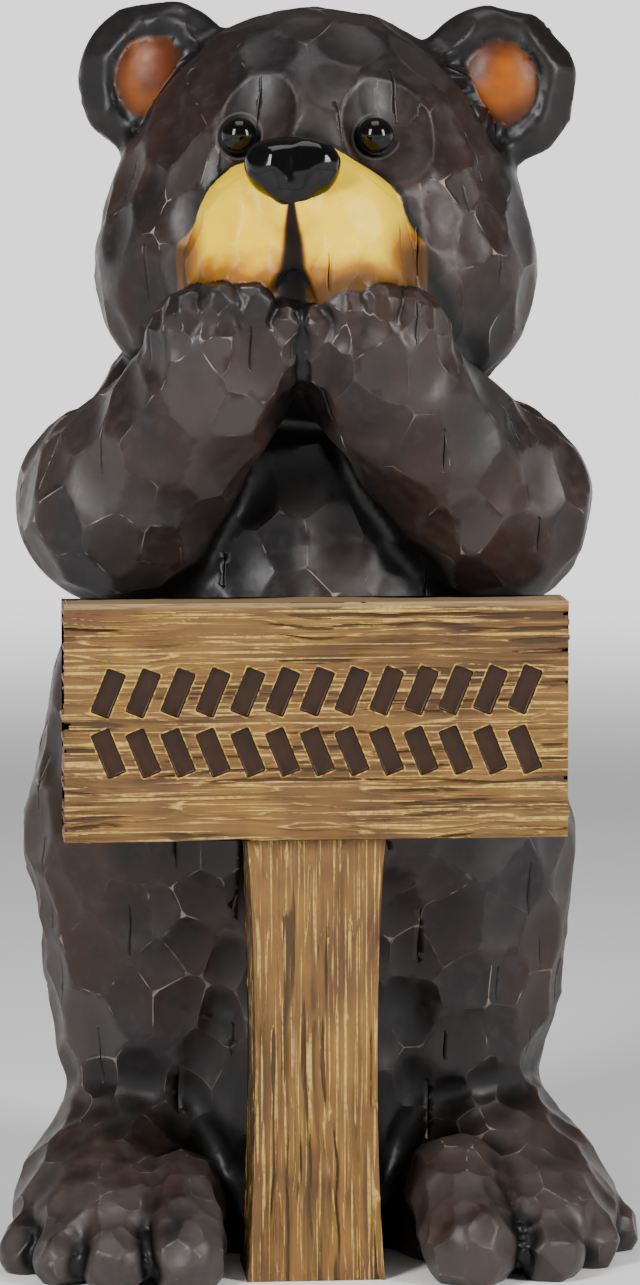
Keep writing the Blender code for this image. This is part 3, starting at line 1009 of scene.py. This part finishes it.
def grain(along, across, seed):
    """Weathered wood grain, 0 in the deepest groove and 1 on the ridges. Lengths are in mm."""
    line = across + 2.2 * noise(along / 44, across / 24, seed)
    line += 0.9 * noise(along / 17, across / 8, seed + 1)
    broad = noise(along / 70, line / 5.2, seed + 2)
    middle = noise(along / 34, line / 1.9, seed + 3)
    thread = np.clip(1 - np.abs(noise(along / 42, line / 2.6, seed + 4)) / 0.16, 0, 1)
    height = 0.46 + 0.22 * broad + 0.2 * middle + 0.4 * thread
    split = np.clip(noise(along / 55, line / 2.4, seed + 5) - 0.5, 0, 1) * 3
    return np.clip(height - split, 0, 1)


def sawn_box(name, low, high, cuts):
    """A box with a grid of cuts in its faces: how many across each axis."""
    box = block(name, low, high)
    mesh = edit(box, "EDGE")
    for axis, count in enumerate(cuts):
        for number in count:
            bpy.ops.mesh.select_all(action="DESELECT")
            mesh = bmesh.from_edit_mesh(box.data)
            for edge in mesh.edges:
                way = edge.verts[0].co - edge.verts[1].co
                edge.select_set(abs(way[axis]) > 0.99 * way.length)
            bmesh.update_edit_mesh(box.data)
            bpy.ops.mesh.subdivide(number_cuts=number)
    leave_edit()
    return box


def carve_board():
    low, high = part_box("sign_board")
    low.y = BOARD_FRONT
    board = sawn_box("board", low, high, ((11, 13), (7,), (14, 14)))
    points = mesh_points(board) * UNIT
    middle = np.array((low + high) / 2)
    half = np.array(high - low) / 2
    along, back, up = (points - middle).T
    front = back < -half[1] + 1e-6
    sides = np.abs(along) > half[0] - 1e-6
    ends = np.abs(up) > half[2] - 1e-6
    relief = grain(along / MM, up / MM, 21)
    layer = np.floor((up / MM + 1.5 * noise(up / MM / 9, back / MM / 12, 30)) / (LAYER_HEIGHT / MM))
    eaten = 0.5 + 0.5 * noise(np.sign(along) * 7.3, layer * 1.7, 31)
    eaten += 0.5 * np.clip(noise(np.sign(along) * 3.3, up / MM / 1.7, 32), 0, 1)
    moved = points.copy()
    moved[:, 1] += np.where(front, (1 - relief) * BOARD_GRAIN, 0)
    moved[:, 0] -= np.sign(along) * np.where(sides, eaten * END_WEAR, 0)
    edge_wave = 0.5 + 0.5 * noise(along / MM / 31, np.sign(up) * 5.1, 41)
    top_relief = grain(along / MM, back / MM, 43)
    worn = EDGE_WEAR * edge_wave + EDGE_GRAIN * (1 - top_relief)
    moved[:, 2] -= np.where(ends, np.sign(up) * worn, 0)
    place_points(board, moved / UNIT)
    return board


def stroke_places():
    """Where each of the two rows' strokes is, and how it leans."""
    low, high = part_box("sign_board")
    middle = (low.z + high.z) / 2
    places = []
    for row, lean in ((0.5, STROKE_LEAN), (-0.5, -STROKE_LEAN)):
        for number in range(STROKE_COUNT):
            across = (number - (STROKE_COUNT - 1) / 2) * STROKE_PITCH
            places.append((across, middle + row * ROW_PITCH, lean))
    return places


def gap_to_strokes(points):
    """How far points are outside the nearest stroke, in mm, measured on the board's front."""
    nearest = np.full(len(points), 99.0)
    for across, height, lean in stroke_places():
        x, z = points[:, 0] - across, points[:, 2] - height
        wide = np.abs(x * math.cos(lean) - z * math.sin(lean)) - STROKE_WIDTH / 2
        tall = np.abs(x * math.sin(lean) + z * math.cos(lean)) - STROKE_LENGTH / 2
        nearest = np.minimum(nearest, np.maximum(wide, tall) / MM)
    return nearest


def stroke_cutters(finish):
    """All the strokes as one cutter, with rounded corners."""
    made = []
    for across, height, lean in stroke_places():
        bpy.ops.mesh.primitive_cube_add(
            size=1,
            location=(across, BOARD_FRONT, height),
            rotation=(0, lean, 0),
            scale=(STROKE_WIDTH, 2 * STROKE_DEPTH, STROKE_LENGTH),
        )
        made.append(bpy.context.object)
    strokes = joined(made)
    rounding = strokes.modifiers.new("Bevel", "BEVEL")
    rounding.width = STROKE_ROUNDING
    rounding.segments = 3
    apply_modifiers(strokes)
    strokes.data.materials.append(finish)
    return strokes


def carve_post():
    low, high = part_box("sign_post")
    low.y = BOARD_FRONT + POST_SETBACK
    low.x, high.x = -POST_WIDTH / 2, POST_WIDTH / 2
    post = sawn_box("post", low, high, ((11, 11), (7, 7), (7, 9)))
    points = mesh_points(post) * UNIT
    middle = np.array((low + high) / 2)
    half = np.array(high - low) / 2
    height = high.z - low.z
    x, back, up = (points - middle).T
    share = np.clip((points[:, 2] - low.z) / height, 0, 1)
    waist = np.sin(np.pi * share) ** 0.7
    front = back < -half[1] + 1e-6
    sides = np.abs(x) > half[0] - 1e-6
    relief = grain(up / MM, x / MM, 51)
    side_relief = grain(up / MM, back / MM, 61)
    moved = points.copy()
    moved[:, 0] = x * (1 - waist * (1 - POST_WAIST / POST_WIDTH))
    moved[:, 0] -= np.sign(x) * np.where(sides, (1 - side_relief) * POST_SIDE_GRAIN, 0)
    moved[:, 1] += np.where(front, (1 - relief) * POST_GRAIN, 0)
    place_points(post, moved / UNIT)
    return post


def depth_below_box(obj, low, high):
    """How far each vertex lies inside the box it was worked from, in mm."""
    points = mesh_points(obj) * UNIT
    gaps = [points[:, 0] - low[0], high[0] - points[:, 0], points[:, 1] - low[1]]
    gaps += [points[:, 2] - low[2], high[2] - points[:, 2]]
    return np.min(gaps, axis=0) / MM


def colour(code):
    """An sRGB hex colour as linear red, green, blue and alpha."""
    parts = [int(code[i : i + 2], 16) / 255 for i in (1, 3, 5)]
    linear = [p / 12.92 if p <= 0.04045 else ((p + 0.055) / 1.055) ** 2.4 for p in parts]
    return (*linear, 1.0)


def add(tree, kind, inputs=None, out=0, **settings):
    """Adds a node with its settings, its values and its links, and gives one of its outputs."""
    made = tree.nodes.new(kind)
    for key, value in settings.items():
        setattr(made, key, value)
    for socket, value in (inputs or {}).items():
        if isinstance(value, bpy.types.NodeSocket):
            tree.links.new(value, made.inputs[socket])
        else:
            made.inputs[socket].default_value = value
    return made.outputs[out]


def new_finish(name):
    """An empty material: its node tree and its shader."""
    made = bpy.data.materials.new(name)
    made.use_nodes = True
    return made, made.node_tree, made.node_tree.nodes["Principled BSDF"]


def mask(tree, *steps, soft=False):
    """How much paint a place takes. Each step fades a mark in from one value to another, from
    none to all or between two levels of its own, and the steps multiply.
    """
    total = None
    for mark, start, stop, *levels in steps:
        low, high = levels or (0.0, 1.0)
        fade = {"Value": mark, "From Min": start, "From Max": stop, "To Min": low, "To Max": high}
        way = "SMOOTHSTEP" if soft else "LINEAR"
        share = add(tree, "ShaderNodeMapRange", fade, interpolation_type=way)
        if total is not None:
            share = add(tree, "ShaderNodeMath", {0: total, 1: share}, operation="MULTIPLY")
        total = share
    return total


def lay(tree, under, paint, *steps):
    """One paint over another, as far as the mask of the steps lets it through."""
    below, above = (colour(p) if isinstance(p, str) else p for p in (under, paint))
    layers = {0: mask(tree, *steps), 6: below, 7: above}
    return add(tree, "ShaderNodeMix", layers, out=2, data_type="RGBA")


def swells(tree, millimetres, detail=3):
    """Smooth uneven variation, fixed to the piece, with its swells so many mm apart."""
    spot = add(tree, "ShaderNodeTexCoord", out="Object")
    settings = {"Vector": spot, "Scale": 1 / (millimetres * MM), "Detail": detail}
    return add(tree, "ShaderNodeTexNoise", settings, out="Fac")


def muzzle_split(tree, up, from_middle):
    """How deep in the muzzle's split each place is, for the painted shade there: it widens on its way
    down from the nose.
    """
    width = mask(tree, (up, 18, -18, 1.6, 9.0))
    ratio = add(tree, "ShaderNodeMath", {0: from_middle, 1: width}, operation="DIVIDE")
    split = mask(tree, (ratio, 0.3, 1.3, 0.95, 0.0), soft=True)
    return mask(tree, (split, 0, 1), (up, 20, 16))


def muzzle_paint(tree, up, from_middle, split, cloud, patch, on_ridge):
    """Yellow, with brown along its lower edge, its cheeks and its split, deepening in the split to
    near black as painted shade.
    """
    waver = mask(tree, (patch, 0.3, 0.7, -5.0, 5.0))
    level = add(tree, "ShaderNodeMath", {0: up, 1: waver}, operation="ADD")
    cheek = mask(tree, (from_middle, 36, 54), soft=True)
    brown_and_shade = mask(tree, (level, -2, -26), soft=True)
    for share in (split, mask(tree, (cheek, 0, 1), (up, 12, -8))):
        brown_and_shade = add(tree, "ShaderNodeMath", {0: brown_and_shade, 1: share}, operation="MAXIMUM")
    yellow = lay(tree, "#e0ae00", "#f0cc00", (cloud, 0, 1))
    yellow = lay(tree, yellow, "#f2d840", (on_ridge, 0, 1, 0.0, 0.45))
    # Brown along the lower edge and the cheeks, and painted shade in the split.
    yellow = lay(tree, yellow, "#8a4404", (brown_and_shade, 0.1, 0.6, 0.0, 0.85))
    yellow = lay(tree, yellow, "#1a0d05", (brown_and_shade, 0.55, 1.0, 0.0, 0.8))
    # Near black in the split: painted shade.
    return lay(tree, yellow, "#0a0503", (split, 0.35, 0.8, 0.0, 0.97))


def bear_finish():
    """Satin acrylic paint on cast resin: painted shade in the hollows, and pale dry brushing on the
    ridges.
    """
    made, tree, shader = new_finish("satin_painted_resin")
    spot = add(tree, "ShaderNodeTexCoord", out="Object")
    height = add(tree, "ShaderNodeSeparateXYZ", {0: spot}, out="Z")
    mark = {
        name: add(tree, "ShaderNodeAttribute", out="Fac", attribute_name=name)
        for name in BEAR_MARKS
    }
    up, brow = mark["head_up"], mark["brow"]
    cloud, patch, brush = swells(tree, 70, 4), swells(tree, 24), swells(tree, 7, 5)
    off_brow = (brow, -0.2, 0.6)
    on_ridge = mask(tree, (mark["ridge"], 0.02, 0.3, 1.0, 0.0), soft=True)
    # Charcoal in some places and brown in others, a little lighter on some facets.
    coat = lay(tree, "#1a1718", "#2b1c17", (cloud, 0.42, 0.58))
    coat = lay(tree, coat, "#3f3a38", (mark["tone"], 0.5, 1.0, 0.0, 0.6), off_brow)
    coat = lay(tree, coat, "#3d3836", (brush, 0.5, 0.75, 0.0, 0.35))
    coat = lay(tree, coat, "#a3968c", (on_ridge, 0, 1), (patch, 0.5, 0.62, 0.04, 0.6), off_brow)
    # Painted shade just inside each brow's edge, and a pale line along it.
    brow_edge = add(tree, "ShaderNodeMath", {0: brow}, operation="ABSOLUTE")
    on_edge = (brow_edge, 0.5, 0.15, 0.0, 0.5)
    coat = lay(tree, coat, "#0c0b0c", (brow, -0.3, -1.0), (brow, -4.5, -1.5, 0.0, 0.5))
    coat = lay(
        tree, coat, "#8c817a", on_edge, (patch, 0.42, 0.6, 0.2, 1.0), (up, 48, 66, 0.1, 1.0)
    )
    # Feet painted lighter in patches: a painted highlight.
    coat = lay(tree, coat, "#4c4441", (height, 0.085, 0.03, 0.0, 0.55), (patch, 0.35, 0.6))
    # Painted shade, near black, in the hollows and between the limbs; black on the ears' rims.
    coat = lay(tree, coat, "#080707", (mark["hollow"], 0.5, 4.0, 0.0, 0.85))
    coat = lay(tree, coat, "#080707", (mark["shut_in"], 0.09, 0.38, 0.0, 0.95))
    coat = lay(tree, coat, "#0d0c0d", (mark["ear"], 2.5, 0.5, 0.0, 0.6))
    # The crown painted darker: painted shade.
    coat = lay(tree, coat, "#120f0f", (up, 30, 80, 0.0, 0.55), (height, 0.47, 0.52))
    from_middle = add(tree, "ShaderNodeMath", {0: mark["head_across"]}, operation="ABSOLUTE")
    split = muzzle_split(tree, up, from_middle)
    # The ears' pads: orange brown, darker towards their edge.
    glow = lay(tree, "#5a2600", "#8f4a00", (patch, 0.35, 0.65))
    glow = lay(tree, glow, "#180b04", (mark["pad_share"], 0.42, 0.95, 0.0, 0.97))
    past_eye = add(tree, "ShaderNodeMath", {0: mark["eye_ring"], 1: 10.9}, operation="SUBTRACT")
    eye_rim = add(tree, "ShaderNodeMath", {0: past_eye}, operation="ABSOLUTE")
    on_muzzle = (mark["muzzle"], -0.4, 0.8)
    in_mouth = (mark["mouth"], 3.0, 0.8)
    for paint, step in (
        (muzzle_paint(tree, up, from_middle, split, cloud, patch, on_ridge), on_muzzle),
        ("#060505", (mark["pad"], 4.0, 1.4)),
        (glow, (mark["pad"], 1.1, 0.4)),
        # The mouth's gap painted black: painted shade.
        ("#030303", in_mouth),
        # A near-black ring round each eye, and a pale rim on its socket's lip: dry brushing and a
        # painted highlight.
        ("#080707", (mark["eye_ring"], 10.6, 9.9)),
        ("#5d5652", (eye_rim, 0.7, 0.3, 0.0, 0.35)),
    ):
        coat = lay(tree, coat, paint, step)
    # Satin, but matt in the mouth and in the split.
    rough = mask(tree, (brush, 0.3, 0.7, 0.33, 0.47))
    for matt in (mask(tree, in_mouth), mask(tree, (split, 0, 1), on_muzzle)):
        rough = add(tree, "ShaderNodeMath", {0: rough, 1: matt}, operation="MAXIMUM")
    bump = add(tree, "ShaderNodeBump", {"Height": brush, "Distance": 0.0003, "Strength": 0.4})
    tree.links.new(coat, shader.inputs["Base Color"])
    tree.links.new(rough, shader.inputs["Roughness"])
    tree.links.new(bump, shader.inputs["Normal"])
    shader.inputs["Specular IOR Level"].default_value = 0.28
    return made


def crack_finish():
    """Dark matt paint in the cracks, painted shade that reads as black."""
    made, tree, shader = new_finish("crack_shade_matt")
    shade = lay(tree, "#070606", "#17110e", (swells(tree, 5), 0, 1))
    tree.links.new(shade, shader.inputs["Base Color"])
    shader.inputs["Roughness"].default_value = 0.85
    return made


def gloss_finish():
    """Black gloss enamel over the eyes and the nose: a hard, wet-looking shine."""
    made, tree, shader = new_finish("black_gloss_enamel")
    swirl = swells(tree, 12)
    bump = add(tree, "ShaderNodeBump", {"Height": swirl, "Distance": 0.0003, "Strength": 0.15})
    tree.links.new(lay(tree, "#040404", "#0c0b0b", (swirl, 0, 1)), shader.inputs["Base Color"])
    tree.links.new(bump, shader.inputs["Normal"])
    shader.inputs["Roughness"].default_value = 0.1
    shader.inputs["Specular IOR Level"].default_value = 0.28
    return made


def wood_finish(name, grain_way):
    """Painted cast wood grain: tan and ochre body, cream gold ridges, dark grooves."""
    made, tree, shader = new_finish(name)
    spot = add(tree, "ShaderNodeTexCoord", out="Object")
    depth, stroke_gap, top_gap = (
        add(tree, "ShaderNodeAttribute", out="Fac", attribute_name=mark) for mark in WOOD_MARKS
    )
    cloud, speck = swells(tree, 38, 4), swells(tree, 2.5)
    squeeze = [1 / (70 * MM) if axis == grain_way else 1 / (1.3 * MM) for axis in range(3)]
    drawn_out = add(tree, "ShaderNodeMapping", {"Vector": spot, "Scale": squeeze})
    threads = {"Vector": drawn_out, "Scale": 1.0, "Detail": 2, "Distortion": 0.25}
    thread = add(tree, "ShaderNodeTexNoise", threads, out="Fac")
    wood = lay(tree, "#5a3c20", "#7a5826", (cloud, 0.36, 0.64))
    wood = lay(tree, wood, "#2b1a0d", (depth, 0.85, 1.6, 0.0, 0.8))
    wood = lay(tree, wood, "#33200f", (thread, 0.39, 0.33, 0.0, 0.4))
    crests = {0: mask(tree, (depth, 0.4, 0.1)), 1: mask(tree, (thread, 0.57, 0.62))}
    crest = add(tree, "ShaderNodeMath", crests, operation="MAXIMUM")
    wood = lay(tree, wood, "#b8984e", (crest, 0, 1), (speck, 0.3, 0.55, 0.3, 0.85))
    wood = lay(tree, wood, "#c9a03c", (stroke_gap, 0.8, 0.3), (speck, 0.42, 0.6, 0.0, 0.8))
    # A paler band along the board's top: a painted highlight.
    wood = lay(tree, wood, "#8f7656", (top_gap, 3.4, 2.0, 0.0, 0.75))
    relief = add(tree, "ShaderNodeMath", {0: speck, 1: 0.3, 2: thread}, operation="MULTIPLY_ADD")
    bump = add(tree, "ShaderNodeBump", {"Height": relief, "Distance": 0.0007, "Strength": 0.6})
    tree.links.new(wood, shader.inputs["Base Color"])
    tree.links.new(bump, shader.inputs["Normal"])
    shader.inputs["Roughness"].default_value = 0.52
    shader.inputs["Specular IOR Level"].default_value = 0.35
    return made


def stroke_finish():
    """Dark brown semi-gloss paint in the carved strokes."""
    made, tree, shader = new_finish("brown_semi_gloss_paint")
    cloud = swells(tree, 8)
    bump = add(tree, "ShaderNodeBump", {"Height": cloud, "Distance": 0.0006, "Strength": 0.5})
    tree.links.new(lay(tree, "#1d1009", "#37210f", (cloud, 0, 1)), shader.inputs["Base Color"])
    tree.links.new(bump, shader.inputs["Normal"])
    shader.inputs["Roughness"].default_value = 0.38
    shader.inputs["Specular IOR Level"].default_value = 0.25
    return made


def floor_finish():
    """Pale matt studio paper, thinning out into the white far from the object."""
    made, tree, shader = new_finish("pale_matt_paper")
    spot = add(tree, "ShaderNodeTexCoord", out="Object")
    away = add(tree, "ShaderNodeVectorMath", {0: spot}, out="Value", operation="LENGTH")
    fading = mask(tree, (away, 1.5, 3.4, 1.0, 0.0), soft=True)
    tree.links.new(fading, shader.inputs["Alpha"])
    paper = lay(tree, "#f4f4f4", "#efefef", (swells(tree, 300), 0, 1))
    tree.links.new(paper, shader.inputs["Base Color"])
    shader.inputs["Roughness"].default_value = 0.9
    return made


def dress_bear():
    skin, facets = carve_bear(bear_finish(), crack_finish())
    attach(skin, "root")
    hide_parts("bear")
    gloss = gloss_finish()
    for piece in (carve_nose(facets), *place_eyes()):
        piece.data.materials.append(gloss)
        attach(piece, "root")


# What is measured on the board and the post for their paint.
WOOD_MARKS = ("depth", "stroke_gap", "top_gap")


def dress_sign():
    board = carve_board()
    board.data.materials.append(wood_finish("painted_board_grain", 0))
    subtract(board, stroke_cutters(stroke_finish()))
    low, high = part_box("sign_board")
    post = carve_post()
    post.data.materials.append(wood_finish("painted_post_grain", 2))
    points = mesh_points(board) * UNIT
    store(board, "depth", depth_below_box(board, (low.x, BOARD_FRONT, low.z), high))
    store(board, "stroke_gap", gap_to_strokes(points))
    store(board, "top_gap", (high.z - points[:, 2]) / MM)
    points = mesh_points(post) * UNIT
    store(post, "depth", (points[:, 1] - BOARD_FRONT - POST_SETBACK) / MM)
    store(post, "stroke_gap", np.full(len(points), 9.0))
    store(post, "top_gap", np.full(len(points), 9.0))
    for piece, node, slot in ((board, "sign_board", "board_paint"), (post, "sign_post", "post_paint")):
        smooth_shaded(piece, 40)
        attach(piece, "root")
        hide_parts(node)


def set_stage():
    """A pale floor, soft lamps and a sky that is bright only near the horizon."""
    deselect()
    bpy.ops.mesh.primitive_plane_add(size=12)
    floor = bpy.context.object
    floor.name = "floor"
    floor.data.materials.append(floor_finish())
    world = bpy.data.worlds.new("studio")
    bpy.context.scene.world = world
    world.use_nodes = True
    tree = world.node_tree
    sky = tree.nodes["Background"]
    way = add(tree, "ShaderNodeTexCoord", out="Generated")
    rise = add(tree, "ShaderNodeSeparateXYZ", {0: way}, out="Z")
    bright = mask(tree, (rise, 0.05, 0.24, 1.6, 0.12), soft=True)
    tree.links.new(bright, sky.inputs["Strength"])
    sky.inputs["Color"].default_value = (1, 1, 1, 1)
    aim = Vector((0, 0, 0.32))
    for name, place, size, power in (
        ("lamp_left", (-1.3, -1.6, 1.5), (0.5, 1.3), 62),
        ("lamp_right", (1.5, -1.4, 1.3), (0.45, 1.2), 47),
        ("lamp_top", (0.0, -0.1, 2.3), (1.0, 1.0), 12),
    ):
        lamp = bpy.data.lights.new(name, "AREA")
        lamp.shape = "RECTANGLE"
        lamp.size, lamp.size_y = size
        lamp.energy = power
        holder = bpy.data.objects.new(name, lamp)
        bpy.context.scene.collection.objects.link(holder)
        holder.location = place
        holder.rotation_euler = (aim - Vector(place)).to_track_quat("-Z", "Y").to_euler()


def set_camera():
    azimuth, elevation, distance, span = math.radians(-5), math.radians(6), 2.6, 0.6225
    target = Vector((0.0080, -0.05, 0.2985))
    back = Vector(
        (
            math.sin(azimuth) * math.cos(elevation),
            -math.cos(azimuth) * math.cos(elevation),
            math.sin(elevation),
        )
    )
    lens = bpy.data.cameras.new("camera")
    lens.sensor_width = 36
    lens.sensor_height = 36
    lens.sensor_fit = "AUTO"
    lens.lens = 36 * distance / span
    camera = bpy.data.objects.new("camera", lens)
    bpy.context.scene.collection.objects.link(camera)
    camera.location = target + back * distance
    camera.rotation_euler = (-back).to_track_quat("-Z", "Y").to_euler()
    bpy.context.scene.camera = camera


dress_bear()
dress_sign()
set_stage()
set_camera()
